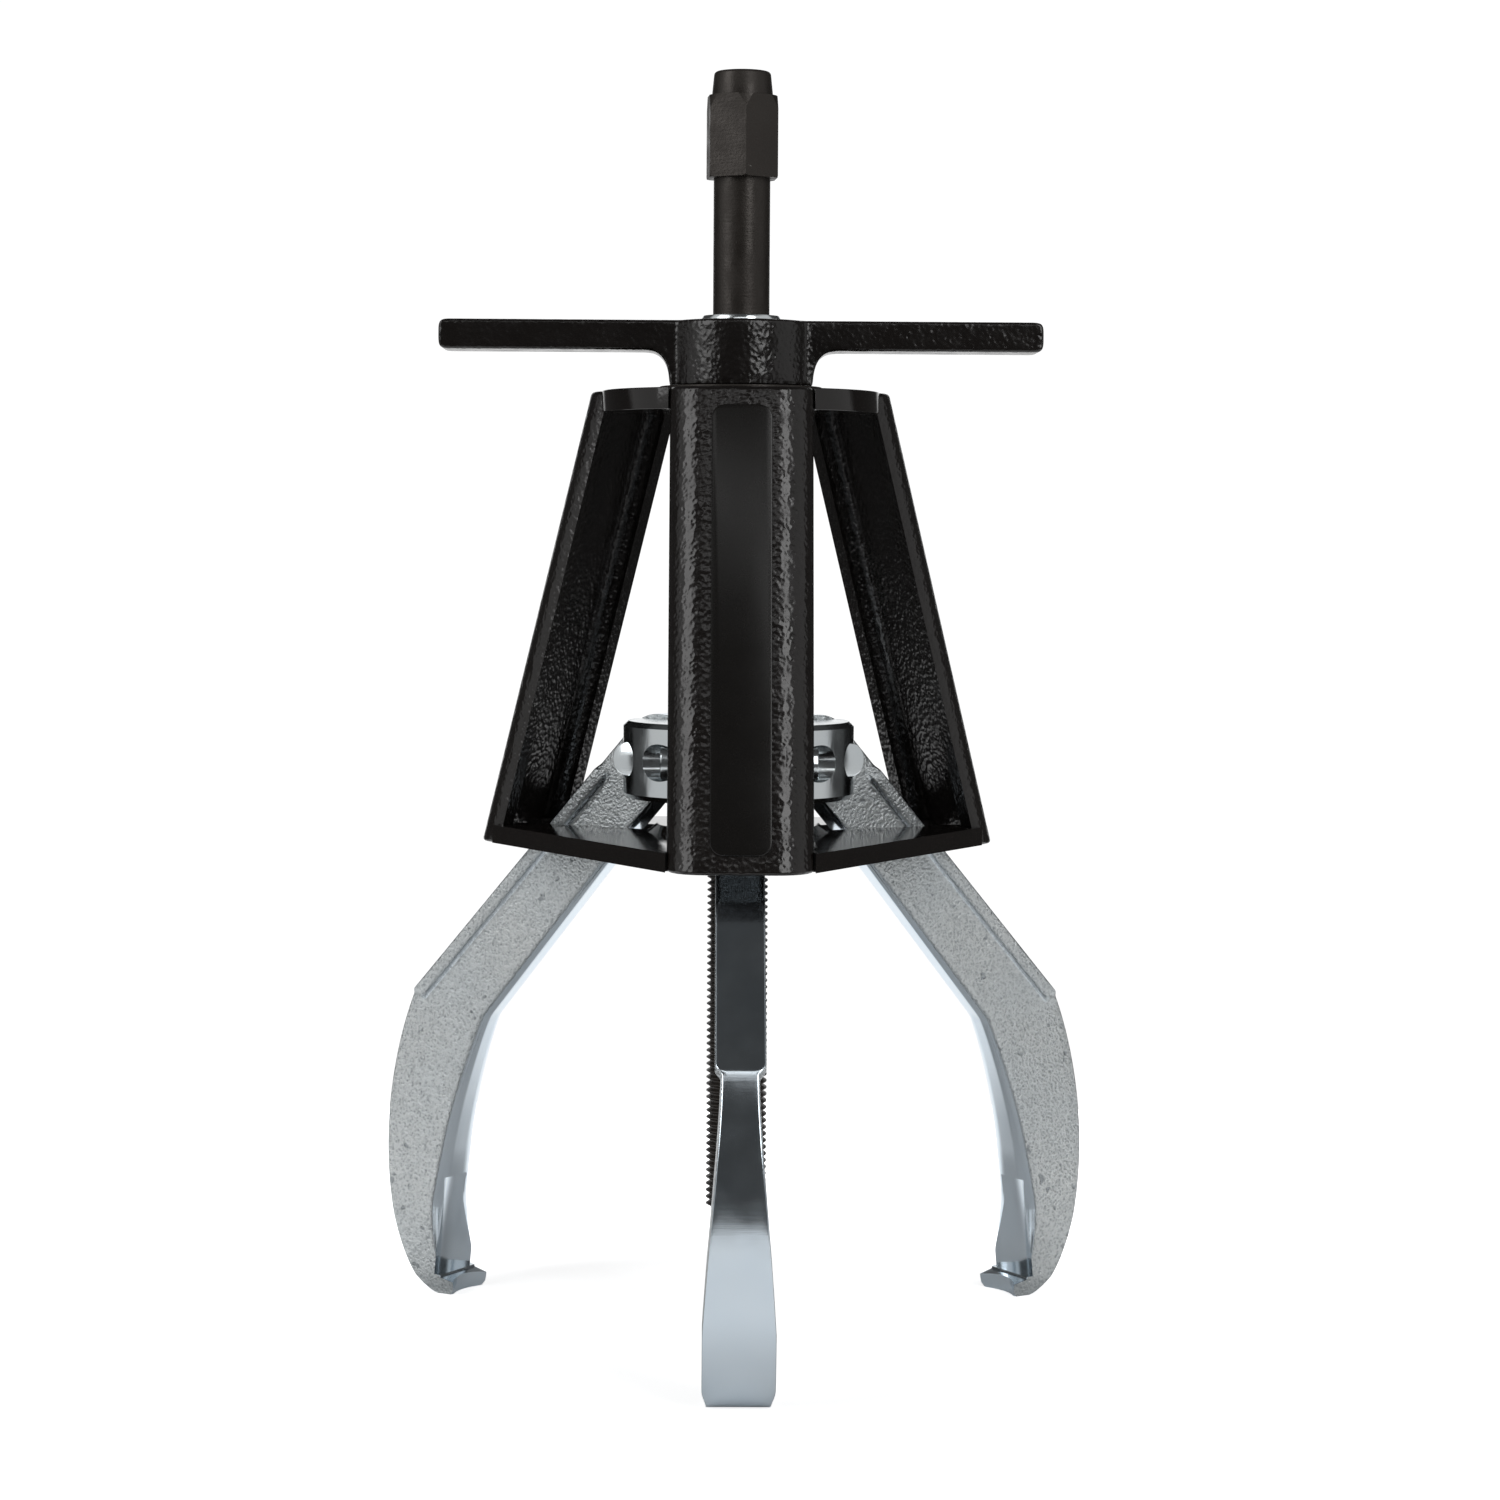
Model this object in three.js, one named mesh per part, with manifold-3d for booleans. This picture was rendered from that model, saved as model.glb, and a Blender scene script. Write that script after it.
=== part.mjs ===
// A three-jaw gear puller whose jaws are closed by a sliding cage.
// Millimetres, +Z up along the forcing screw. The origin is the middle of the
// centre point's end face. The first jaw and cage leg face -Y.
import * as THREE from 'three';
import { mergeVertices } from 'three/addons/utils/BufferGeometryUtils.js';
import Module from 'manifold-3d';

const wasm = await Module();
wasm.setup();

// General
const ARM_COUNT = 3; // jaws, and cage legs
const FIRST_AZIMUTH = -90; // degrees
const FIT = 0.3; // clearance between pieces that touch on the real tool

// Forcing screw, 9/16 in with 16 threads to the inch
const SCREW_RADIUS = 7.14;
const SCREW_END_RADIUS = 5.7; // turned-down end
const SCREW_END_TOP = 14;
const SHANK_BOTTOM = 220;
const SHANK_RADIUS = 6.6;
const HEX_BOTTOM = 257;
const HEX_HEIGHT = 19;
const HEX_ACROSS_FLATS = 15.875; // 5/8 in
const HEX_CHAMFER = 3.4;
const HEX_TURN = 5; // degrees from facing -Y with a corner
const PILOT_RADIUS = 7.1;
const PILOT_TOP_RADIUS = 6.65;
const PILOT_HEIGHT = 5.7;

// Centre point: a live tip that does not turn with the screw
const POINT_HEIGHT = 10;
const POINT_CHAMFER = 1.2;
const POINT_STEM_RADIUS = 2.4;
const POINT_STEM_HEIGHT = 4;
const BALL_RADIUS = 2.3;
const SOCKET_RADIUS = POINT_STEM_RADIUS + FIT;
const SOCKET_TOP = 19.6;

// Jaw head: a slotted drum with a long threaded sleeve
const DRUM_RADIUS = 27.15;
const DRUM_BOTTOM = 112.4;
const DRUM_TOP = 130.5;
const DRUM_CHAMFER = 1.2;
const SLEEVE_RADIUS = 9.8;
const SLEEVE_TOP = 225.1;
const SLEEVE_CHAMFER = 1;
const HEAD_BORE_RADIUS = SCREW_RADIUS + FIT;

// Jaw pivots and the bolts in them
const PIVOT_RADIUS = 19.7; // from the screw's axis
const PIVOT_HEIGHT = 121.6;
const BOLT_RADIUS = 4;
const BOLT_LENGTH = 36.4;
const BOLT_CHAMFER = 0.4;
const LOCK_SCREW_RADIUS = 2;
const LOCK_SCREW_OFFSET = 11; // along the bolt from the jaw's middle
const LOCK_SCREW_LENGTH = 4;

// Jaws
const JAW_WEB = 8.2; // thickness of the arm
const JAW_HALF_WIDTH = 10; // of the eye, and of the arm out to its flange
const ARM_INNER_START = 6.3; // from the arm's middle line to its inner edge, at the pivot
const ARM_INNER_END = 9.1; // and at the bend
const ARM_LENGTH = 81.4;
const JAW_ANGLE = 42.8; // degrees from vertical, fully open
const FLANGE_WIDTH = 11;
const FLANGE_THICKNESS = 3.5;
const FLANGE_START = 13.3; // from the pivot along the arm
const FLANGE_END = 91.7;
const JAW_FOOT = -13.4; // height of the tip's flat underside
const JAW_TIP_WIDTH = 16;
const GRIP_RADIUS = 14; // hollow machined in the gripping face
const GRIP_DEPTH = 2.2;
const GRIP_LENGTH = 23.5;
const GRIP_TILT = 6.4; // degrees
const LIP_FRONT = 75.5; // from the screw's axis
const LIP_TOP = -10.2;

// Cage
const CAGE_BOTTOM = 100;
const CAGE_TOP = 207.5;
const LEG_BOTTOM_RADIUS = 65.2; // of the outer face, from the screw's axis
const LEG_TOP_RADIUS = 34.7;
const LEG_WIDTH = 32.5;
const LEG_CORNER_RADIUS = 8.5;
const LEG_THICKNESS = 4.5;
const TOP_PLATE_THICKNESS = 5;
const TOP_PLATE_RADIUS = 32.5;
const BASE_PLATE_THICKNESS = 4.3;
const BASE_PLATE_APOTHEM = 43.5; // of the straight sides between the legs
const HUB_RADIUS = 21.5;
const HUB_TOP_RADIUS = 19.2;
const HUB_TOP = 106.2;
const HUB_BORE_RADIUS = 11;
const JAW_SLOT_WIDTH = 13.6;
const JAW_SLOT_START = 21.6; // at the plate's upper face
const LABEL_WIDTH = 13.6;
const LABEL_LENGTH = 103;
const LABEL_THICKNESS = 0.4;
const LABEL_CORNER_RADIUS = 3;

// T-handle, threaded on the sleeve and held in the cage's top plate
const HANDLE_HALF_LENGTH = 70.3;
const BAR_THICKNESS = 7;
const BAR_WIDTH = 15;
const BAR_END_RADIUS = 1.6;
const HANDLE_TOP = 223.8;
const HANDLE_HUB_RADIUS = 16.7;
const HANDLE_FILLET_REACH = 22.1; // from the screw's axis
const HANDLE_BORE_RADIUS = SLEEVE_RADIUS + FIT;
const JOURNAL_RADIUS = 13;
const JOURNAL_BOTTOM = 199.6;
const WASHER_RADIUS = 19;
const WASHER_THICKNESS = 0.8;
const RING_RADIUS = 15.5;
const RING_INNER_RADIUS = 12.6;
const RING_THICKNESS = 1.2;
const RING_GROOVE_RADIUS = 12.2;
const RING_GAP_ANGLE = 50; // degrees

const BLACK_PAINT = { color: 0x1a1918, roughness: 0.4, metalness: 0.1 };
const BLACK_OXIDE = { color: 0x2c2825, roughness: 0.5, metalness: 0.6 };
const CAST_ZINC = { color: 0xaab6ba, roughness: 0.45, metalness: 0.8 };
const BRIGHT_ZINC = { color: 0xb9c4ca, roughness: 0.2, metalness: 1 };
const LABEL_FILM = { color: 0x101010, roughness: 0.25, metalness: 0 };

const radians = THREE.MathUtils.degToRad;
const legSlope = (LEG_BOTTOM_RADIUS - LEG_TOP_RADIUS) / (CAGE_TOP - CAGE_BOTTOM);
const jawSin = Math.sin(radians(JAW_ANGLE));
const jawCos = Math.cos(radians(JAW_ANGLE));

// ---- Solids ----------------------------------------------------------------

function toSolid(geometry) {
  const bare = geometry.index ? geometry.toNonIndexed() : geometry.clone();
  bare.deleteAttribute('normal');
  bare.deleteAttribute('uv');
  const merged = mergeVertices(bare);
  return new wasm.Manifold(new wasm.Mesh({
    numProp: 3,
    vertProperties: new Float32Array(merged.attributes.position.array),
    triVerts: new Uint32Array(merged.index.array),
  }));
}

function toGeometry(solid) {
  const { vertProperties, triVerts } = solid.getMesh();
  const geometry = new THREE.BufferGeometry();
  geometry.setAttribute('position', new THREE.BufferAttribute(vertProperties, 3));
  geometry.setIndex(new THREE.BufferAttribute(triVerts, 1));
  geometry.computeVertexNormals();
  return geometry;
}

function piece(name, solid, finish) {
  const mesh = new THREE.Mesh(toGeometry(solid), new THREE.MeshStandardMaterial(finish));
  mesh.name = name;
  return mesh;
}

function cutAll(solid, tools) {
  return tools.reduce((rest, tool) => rest.subtract(tool), solid);
}

// A turned solid about Z, from [radius, height] pairs listed upwards
function turned(profile, segments = 48) {
  const points = profile.map(([radius, height]) => new THREE.Vector2(radius, height));
  return toSolid(new THREE.LatheGeometry(points, segments).rotateX(Math.PI / 2));
}

function rod(radius, bottom, top, segments = 32) {
  return turned([[0, bottom], [radius, bottom], [radius, top], [0, top]], segments);
}

function tube(innerRadius, outerRadius, bottom, top, segments = 48) {
  return turned([
    [innerRadius, bottom], [outerRadius, bottom], [outerRadius, top], [innerRadius, top],
    [innerRadius, bottom],
  ], segments);
}

// A plan outline in X and Y, raised along Z
function plate(shape, bottom, top, curveSegments = 8) {
  const geometry = new THREE.ExtrudeGeometry(shape, {
    depth: top - bottom, bevelEnabled: false, curveSegments,
  });
  return geometry.translate(0, 0, bottom);
}

// A side outline in X and Z, with the given thickness centred on Y
function slab(shape, thickness, curveSegments = 8) {
  const geometry = new THREE.ExtrudeGeometry(shape, {
    depth: thickness, bevelEnabled: false, curveSegments,
  });
  return geometry.translate(0, 0, -thickness / 2).rotateX(Math.PI / 2);
}

function polygon(points) {
  return new THREE.Shape(points.map(([x, y]) => new THREE.Vector2(x, y)));
}

function azimuthOf(index) {
  return FIRST_AZIMUTH + index * 360 / ARM_COUNT;
}

// The same tool at each arm's azimuth, from one made along +X
function atEachArm(geometry, offset = 0) {
  return Array.from({ length: ARM_COUNT }, (_, index) => (
    toSolid(geometry.clone().rotateZ(radians(azimuthOf(index) + offset)))
  ));
}

// A group whose +X points along an arm's azimuth
function armGroup(index, ...meshes) {
  const group = new THREE.Group();
  group.rotation.z = radians(azimuthOf(index));
  group.add(...meshes);
  return group;
}

// ---- Forcing screw and centre point ------------------------------------------

function forcingScrew() {
  const hexTop = HEX_BOTTOM + HEX_HEIGHT;
  const hexCorner = HEX_ACROSS_FLATS / 2 / Math.cos(Math.PI / 6);
  const flat = HEX_ACROSS_FLATS / 2;
  const stem = turned([
    [0, POINT_HEIGHT + FIT], [SCREW_END_RADIUS, POINT_HEIGHT + FIT],
    [SCREW_END_RADIUS, SCREW_END_TOP - 1], [SCREW_RADIUS, SCREW_END_TOP + 0.5],
    [SCREW_RADIUS, SHANK_BOTTOM], [SHANK_RADIUS, SHANK_BOTTOM + 1],
    [SHANK_RADIUS, hexTop], [PILOT_RADIUS, hexTop],
    [PILOT_RADIUS - 0.1, hexTop + 1], [PILOT_TOP_RADIUS, hexTop + PILOT_HEIGHT - 0.7],
    [PILOT_TOP_RADIUS - 0.7, hexTop + PILOT_HEIGHT], [0, hexTop + PILOT_HEIGHT],
  ], 32);
  const prism = new THREE.CylinderGeometry(hexCorner, hexCorner, HEX_HEIGHT, 6)
    .rotateX(Math.PI / 2)
    .rotateZ(radians(HEX_TURN))
    .translate(0, 0, HEX_BOTTOM + HEX_HEIGHT / 2);
  const corners = turned([
    [0, HEX_BOTTOM], [flat + 0.8, HEX_BOTTOM], [hexCorner, HEX_BOTTOM + 0.5],
    [hexCorner, hexTop - HEX_CHAMFER], [flat + 0.4, hexTop], [0, hexTop],
  ]);
  const socket = rod(SOCKET_RADIUS, 0, SOCKET_TOP, 20);
  return piece('forcing_screw', stem.add(toSolid(prism).intersect(corners)).subtract(socket), BLACK_OXIDE);
}

function centrePoint() {
  const solid = turned([
    [0, 0], [SCREW_END_RADIUS - POINT_CHAMFER, 0], [SCREW_END_RADIUS, POINT_CHAMFER],
    [SCREW_END_RADIUS, POINT_HEIGHT], [POINT_STEM_RADIUS, POINT_HEIGHT],
    [POINT_STEM_RADIUS, POINT_HEIGHT + POINT_STEM_HEIGHT], [0, POINT_HEIGHT + POINT_STEM_HEIGHT],
  ], 32);
  return piece('centre_point', solid, BLACK_OXIDE);
}

function thrustBall() {
  const height = POINT_HEIGHT + POINT_STEM_HEIGHT + FIT + BALL_RADIUS;
  const ball = new THREE.SphereGeometry(BALL_RADIUS, 16, 10).translate(0, 0, height);
  return piece('thrust_ball', toSolid(ball), BRIGHT_ZINC);
}

// ---- Jaw head ------------------------------------------------------------------

function jawHead() {
  const body = turned([
    [0, DRUM_BOTTOM], [DRUM_RADIUS - DRUM_CHAMFER, DRUM_BOTTOM],
    [DRUM_RADIUS, DRUM_BOTTOM + DRUM_CHAMFER], [DRUM_RADIUS, DRUM_TOP - DRUM_CHAMFER],
    [DRUM_RADIUS - DRUM_CHAMFER, DRUM_TOP], [SLEEVE_RADIUS, DRUM_TOP],
    [SLEEVE_RADIUS, SLEEVE_TOP - SLEEVE_CHAMFER], [SLEEVE_RADIUS - SLEEVE_CHAMFER, SLEEVE_TOP],
    [0, SLEEVE_TOP],
  ], 60);
  const bore = rod(HEAD_BORE_RADIUS, DRUM_BOTTOM - 1, SLEEVE_TOP + 1);
  const slotStart = PIVOT_RADIUS - JAW_HALF_WIDTH - FIT;
  const slot = new THREE.BoxGeometry(DRUM_RADIUS, JAW_WEB + 2 * FIT, 2 * (DRUM_TOP - DRUM_BOTTOM))
    .translate(slotStart + DRUM_RADIUS / 2, 0, DRUM_TOP + FIT - (DRUM_TOP - DRUM_BOTTOM));
  const boltBore = new THREE.CylinderGeometry(BOLT_RADIUS + FIT, BOLT_RADIUS + FIT, 3 * DRUM_RADIUS, 24)
    .translate(PIVOT_RADIUS, 0, PIVOT_HEIGHT);
  const lockBoreHeight = PIVOT_HEIGHT - DRUM_BOTTOM;
  const lockBore = new THREE.CylinderGeometry(
    LOCK_SCREW_RADIUS + FIT, LOCK_SCREW_RADIUS + FIT, lockBoreHeight, 16,
  ).rotateX(Math.PI / 2).translate(
    PIVOT_RADIUS, LOCK_SCREW_OFFSET, DRUM_BOTTOM - 1 + lockBoreHeight / 2,
  );
  const solid = cutAll(body, [
    bore, ...atEachArm(slot), ...atEachArm(boltBore), ...atEachArm(lockBore),
  ]);
  return piece('jaw_head', solid, BRIGHT_ZINC);
}

function jawBolt(index) {
  const half = BOLT_LENGTH / 2;
  const solid = turned([
    [0, -half], [BOLT_RADIUS - BOLT_CHAMFER, -half], [BOLT_RADIUS, BOLT_CHAMFER - half],
    [BOLT_RADIUS, half - BOLT_CHAMFER], [BOLT_RADIUS - BOLT_CHAMFER, half], [0, half],
  ], 24);
  const bolt = piece(`jaw_bolt_${index + 1}`, solid, BRIGHT_ZINC);
  bolt.rotation.x = Math.PI / 2;
  bolt.position.set(PIVOT_RADIUS, 0, PIVOT_HEIGHT);
  return bolt;
}

function lockScrew(index) {
  const screw = piece(
    `jaw_bolt_lock_screw_${index + 1}`, rod(LOCK_SCREW_RADIUS, 0, LOCK_SCREW_LENGTH, 16), BLACK_OXIDE,
  );
  screw.position.set(
    PIVOT_RADIUS, LOCK_SCREW_OFFSET, PIVOT_HEIGHT - BOLT_RADIUS - FIT - LOCK_SCREW_LENGTH,
  );
  return screw;
}

// ---- Jaws ------------------------------------------------------------------------

// A point in a jaw's side view, from a distance along the open arm and out from its middle line
function onArm(along, outward) {
  return [
    PIVOT_RADIUS + along * jawSin + outward * jawCos,
    PIVOT_HEIGHT - along * jawCos + outward * jawSin,
  ];
}

function jawOutline() {
  const eyeStart = radians(JAW_ANGLE);
  const eyeEnd = eyeStart + Math.PI + Math.acos(ARM_INNER_START / JAW_HALF_WIDTH);
  const shape = new THREE.Shape();
  shape.moveTo(...onArm(FLANGE_END, JAW_HALF_WIDTH));
  shape.lineTo(...onArm(0, JAW_HALF_WIDTH));
  shape.absarc(PIVOT_RADIUS, PIVOT_HEIGHT, JAW_HALF_WIDTH, eyeStart, eyeEnd);
  shape.lineTo(...onArm(ARM_LENGTH, -ARM_INNER_END));
  shape.bezierCurveTo(71.3, 49.5, 76.8, 33, 78.6, 21);
  shape.lineTo(80.7, 9);
  shape.quadraticCurveTo(81, -2, 79.2, LIP_TOP + 1);
  shape.lineTo(LIP_FRONT, LIP_TOP);
  shape.lineTo(LIP_FRONT, JAW_FOOT + 1.2);
  shape.lineTo(LIP_FRONT + 1, JAW_FOOT);
  shape.lineTo(LIP_FRONT + 5, JAW_FOOT);
  shape.bezierCurveTo(89.5, -11.5, 95.9, 8, 95.9, 27);
  shape.bezierCurveTo(95.9, 40, 93.5, 52, ...onArm(FLANGE_END, JAW_HALF_WIDTH));
  return shape;
}

// Seen along the arm's radius, the jaw widens from the arm to the tip
function jawWidthOutline() {
  const web = JAW_WEB / 2;
  const tip = JAW_TIP_WIDTH / 2;
  const top = PIVOT_HEIGHT + JAW_HALF_WIDTH + 5;
  const bottom = JAW_FOOT - 1;
  const shape = new THREE.Shape();
  shape.moveTo(-web, top);
  shape.lineTo(-web, 59);
  shape.bezierCurveTo(-web - 0.2, 46, 1.6 - tip, 30, -tip, 4);
  shape.lineTo(0.2 - tip, -10.5);
  shape.lineTo(1 - tip, bottom);
  shape.lineTo(tip - 1, bottom);
  shape.lineTo(tip - 0.2, -10.5);
  shape.lineTo(tip, 4);
  shape.bezierCurveTo(tip - 1.6, 30, web + 0.2, 46, web, 59);
  shape.lineTo(web, top);
  shape.closePath();
  return shape;
}

function jawFlange() {
  const inner = JAW_HALF_WIDTH - FLANGE_THICKNESS;
  return slab(polygon([
    onArm(FLANGE_START + 1.5, JAW_HALF_WIDTH), onArm(FLANGE_START, JAW_HALF_WIDTH - 1.5),
    onArm(FLANGE_START, inner), onArm(FLANGE_END - 1, inner),
    onArm(FLANGE_END, inner + 1), onArm(FLANGE_END, JAW_HALF_WIDTH - 1),
    onArm(FLANGE_END - 1, JAW_HALF_WIDTH),
  ]), FLANGE_WIDTH);
}

function gripHollow() {
  const wallAtLip = 81.2;
  return new THREE.CylinderGeometry(GRIP_RADIUS, GRIP_RADIUS, GRIP_LENGTH, 48)
    .translate(0, GRIP_LENGTH / 2, 0)
    .rotateX(Math.PI / 2)
    .rotateY(-radians(GRIP_TILT))
    .translate(wallAtLip + GRIP_DEPTH - GRIP_RADIUS, 0, LIP_TOP + 0.4);
}

function jaw(index) {
  const widthTool = slab(jawWidthOutline(), 4 * LIP_FRONT).rotateZ(Math.PI / 2);
  const eyeBore = new THREE.CylinderGeometry(BOLT_RADIUS + FIT, BOLT_RADIUS + FIT, 2 * JAW_WEB, 24)
    .translate(PIVOT_RADIUS, 0, PIVOT_HEIGHT);
  const lipHollow = rod(GRIP_RADIUS, JAW_FOOT - 1, LIP_TOP + 2, 48)
    .translate([LIP_FRONT + GRIP_DEPTH - GRIP_RADIUS, 0, 0]);
  const solid = toSolid(slab(jawOutline(), JAW_TIP_WIDTH + 2))
    .intersect(toSolid(widthTool))
    .add(toSolid(jawFlange()))
    .subtract(toSolid(gripHollow()))
    .subtract(lipHollow)
    .subtract(toSolid(eyeBore));
  return piece(`jaw_${index + 1}`, solid, CAST_ZINC);
}

// ---- Cage ------------------------------------------------------------------------

function legSection() {
  const flat = LEG_WIDTH / 2 - LEG_CORNER_RADIUS;
  const centre = LEG_BOTTOM_RADIUS - LEG_CORNER_RADIUS;
  const innerRadius = LEG_CORNER_RADIUS - LEG_THICKNESS;
  const quarter = Math.PI / 2;
  const shape = new THREE.Shape();
  shape.moveTo(centre, -LEG_WIDTH / 2);
  shape.absarc(centre, -flat, LEG_CORNER_RADIUS, -quarter, 0);
  shape.absarc(centre, flat, LEG_CORNER_RADIUS, 0, quarter);
  shape.lineTo(centre, flat + innerRadius);
  shape.absarc(centre, flat, innerRadius, quarter, 0, true);
  shape.absarc(centre, -flat, innerRadius, 0, -quarter, true);
  shape.closePath();
  return shape;
}

function cageLeg(index) {
  const lean = new THREE.Matrix4().makeShear(0, 0, 0, 0, -legSlope, 0);
  const geometry = plate(legSection(), 0, CAGE_TOP - CAGE_BOTTOM, 10)
    .applyMatrix4(lean)
    .translate(0, 0, CAGE_BOTTOM);
  return piece(`cage_leg_${index + 1}`, toSolid(geometry), BLACK_PAINT);
}

// The space a leg takes from a plate of the cage, around the tongue that fills its channel
function legPocket(webRadius, bottom, top) {
  const flat = LEG_WIDTH / 2 - LEG_CORNER_RADIUS;
  const centre = webRadius - LEG_CORNER_RADIUS;
  const tongueRadius = LEG_CORNER_RADIUS - LEG_THICKNESS - FIT;
  const ear = centre - FIT;
  const outerHalf = LEG_WIDTH / 2 + FIT;
  const far = 2 * LEG_BOTTOM_RADIUS;
  const shape = polygon([[ear, -outerHalf], [far, -outerHalf], [far, outerHalf], [ear, outerHalf]]);
  shape.lineTo(ear, flat + tongueRadius);
  shape.lineTo(centre, flat + tongueRadius);
  shape.absarc(centre, flat, tongueRadius, Math.PI / 2, 0, true);
  shape.absarc(centre, -flat, tongueRadius, 0, -Math.PI / 2, true);
  shape.lineTo(ear, -flat - tongueRadius);
  shape.closePath();
  return plate(shape, bottom - 1, top + 1);
}

function cageTopPlate() {
  const bottom = CAGE_TOP - TOP_PLATE_THICKNESS;
  const pocket = legPocket(LEG_TOP_RADIUS, bottom, CAGE_TOP);
  const disc = tube(JOURNAL_RADIUS + FIT, TOP_PLATE_RADIUS, bottom, CAGE_TOP, 60);
  return piece('cage_top_plate', cutAll(disc, atEachArm(pocket)), BLACK_PAINT);
}

function cageBasePlate() {
  const top = CAGE_BOTTOM + BASE_PLATE_THICKNESS;
  const side = BASE_PLATE_APOTHEM * 2;
  const corners = [0, 1, 2].map((index) => {
    const azimuth = radians(azimuthOf(index));
    return [side * Math.cos(azimuth), side * Math.sin(azimuth)];
  });
  const topWebRadius = LEG_BOTTOM_RADIUS - legSlope * BASE_PLATE_THICKNESS;
  const pocket = legPocket(topWebRadius, CAGE_BOTTOM, top);
  const rise = HUB_TOP + 1 - top;
  const depth = top - CAGE_BOTTOM + 1;
  const lean = jawSin / jawCos;
  const slot = slab(polygon([
    [JAW_SLOT_START - rise * lean, top + rise], [2 * side, top + rise],
    [2 * side, top - depth], [JAW_SLOT_START + depth * lean, top - depth],
  ].reverse()), JAW_SLOT_WIDTH);
  const body = toSolid(plate(polygon(corners), CAGE_BOTTOM, top))
    .add(turned([
      [0, CAGE_BOTTOM], [HUB_RADIUS, CAGE_BOTTOM], [HUB_RADIUS, top], [HUB_TOP_RADIUS, HUB_TOP],
      [0, HUB_TOP],
    ]));
  const bore = rod(HUB_BORE_RADIUS, CAGE_BOTTOM - 1, HUB_TOP + 1);
  const solid = cutAll(body, [bore, ...atEachArm(pocket), ...atEachArm(slot)]);
  return piece('cage_base_plate', solid, BLACK_PAINT);
}

function cageLabel() {
  const x = LABEL_LENGTH / 2;
  const y = LABEL_WIDTH / 2;
  const r = LABEL_CORNER_RADIUS;
  const shape = new THREE.Shape();
  shape.moveTo(-x + r, -y);
  shape.lineTo(x - r, -y);
  shape.absarc(x - r, -y + r, r, -Math.PI / 2, 0);
  shape.absarc(x - r, y - r, r, 0, Math.PI / 2);
  shape.absarc(-x + r, y - r, r, Math.PI / 2, Math.PI);
  shape.absarc(-x + r, -y + r, r, Math.PI, 1.5 * Math.PI);
  const standoff = FIT / 2;
  const label = piece('cage_label', toSolid(plate(shape, standoff, standoff + LABEL_THICKNESS, 4)), LABEL_FILM);
  label.rotation.y = Math.PI / 2 - Math.atan(legSlope);
  label.position.set((LEG_BOTTOM_RADIUS + LEG_TOP_RADIUS) / 2, 0, (CAGE_BOTTOM + CAGE_TOP) / 2);
  return label;
}

// ---- T-handle --------------------------------------------------------------------

function barOutline(hubBottom) {
  const x = HANDLE_HALF_LENGTH;
  const bottom = HANDLE_TOP - BAR_THICKNESS;
  const r = BAR_END_RADIUS;
  const shape = new THREE.Shape();
  shape.moveTo(-HANDLE_HUB_RADIUS, hubBottom);
  shape.lineTo(HANDLE_HUB_RADIUS, hubBottom);
  shape.quadraticCurveTo(HANDLE_HUB_RADIUS, bottom, HANDLE_FILLET_REACH, bottom);
  shape.lineTo(x - r, bottom);
  shape.absarc(x - r, bottom + r, r, -Math.PI / 2, 0);
  shape.absarc(x - r, HANDLE_TOP - r, r, 0, Math.PI / 2);
  shape.absarc(-x + r, HANDLE_TOP - r, r, Math.PI / 2, Math.PI);
  shape.absarc(-x + r, bottom + r, r, Math.PI, 1.5 * Math.PI);
  shape.lineTo(-HANDLE_FILLET_REACH, bottom);
  shape.quadraticCurveTo(-HANDLE_HUB_RADIUS, bottom, -HANDLE_HUB_RADIUS, hubBottom);
  return shape;
}

function tHandle() {
  const hubBottom = CAGE_TOP + WASHER_THICKNESS + 2 * FIT;
  const ringTop = CAGE_TOP - TOP_PLATE_THICKNESS - FIT;
  const solid = turned([
    [0, JOURNAL_BOTTOM], [JOURNAL_RADIUS, JOURNAL_BOTTOM], [JOURNAL_RADIUS, hubBottom],
    [HANDLE_HUB_RADIUS, hubBottom], [HANDLE_HUB_RADIUS, HANDLE_TOP], [0, HANDLE_TOP],
  ])
    .add(toSolid(slab(barOutline(hubBottom), BAR_WIDTH, 6)))
    .subtract(rod(HANDLE_BORE_RADIUS, JOURNAL_BOTTOM - 1, HANDLE_TOP + 1, 48))
    .subtract(tube(
      RING_GROOVE_RADIUS, JOURNAL_RADIUS + 1, ringTop - RING_THICKNESS - FIT, ringTop + FIT / 2,
    ));
  return piece('t_handle', solid, BLACK_PAINT);
}

function thrustWasher() {
  const bottom = CAGE_TOP + FIT;
  const solid = tube(JOURNAL_RADIUS + FIT, WASHER_RADIUS, bottom, bottom + WASHER_THICKNESS);
  return piece('handle_thrust_washer', solid, BLACK_OXIDE);
}

function retainingRing() {
  const half = radians(RING_GAP_ANGLE / 2);
  const top = CAGE_TOP - TOP_PLATE_THICKNESS - FIT;
  const shape = new THREE.Shape();
  shape.absarc(0, 0, RING_RADIUS, half, 2 * Math.PI - half);
  shape.absarc(0, 0, RING_INNER_RADIUS, 2 * Math.PI - half, half, true);
  shape.closePath();
  return piece('handle_retaining_ring', toSolid(plate(shape, top - RING_THICKNESS, top, 32)), BLACK_OXIDE);
}

// ---- Assembly ----------------------------------------------------------------------

const puller = new THREE.Group();
puller.add(forcingScrew(), centrePoint(), thrustBall(), jawHead());
puller.add(cageTopPlate(), cageBasePlate(), tHandle(), thrustWasher(), retainingRing());
puller.add(armGroup(0, cageLabel()));
for (let index = 0; index < ARM_COUNT; index += 1) {
  puller.add(armGroup(index, jaw(index), jawBolt(index), lockScrew(index), cageLeg(index)));
}

export default puller;
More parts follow.
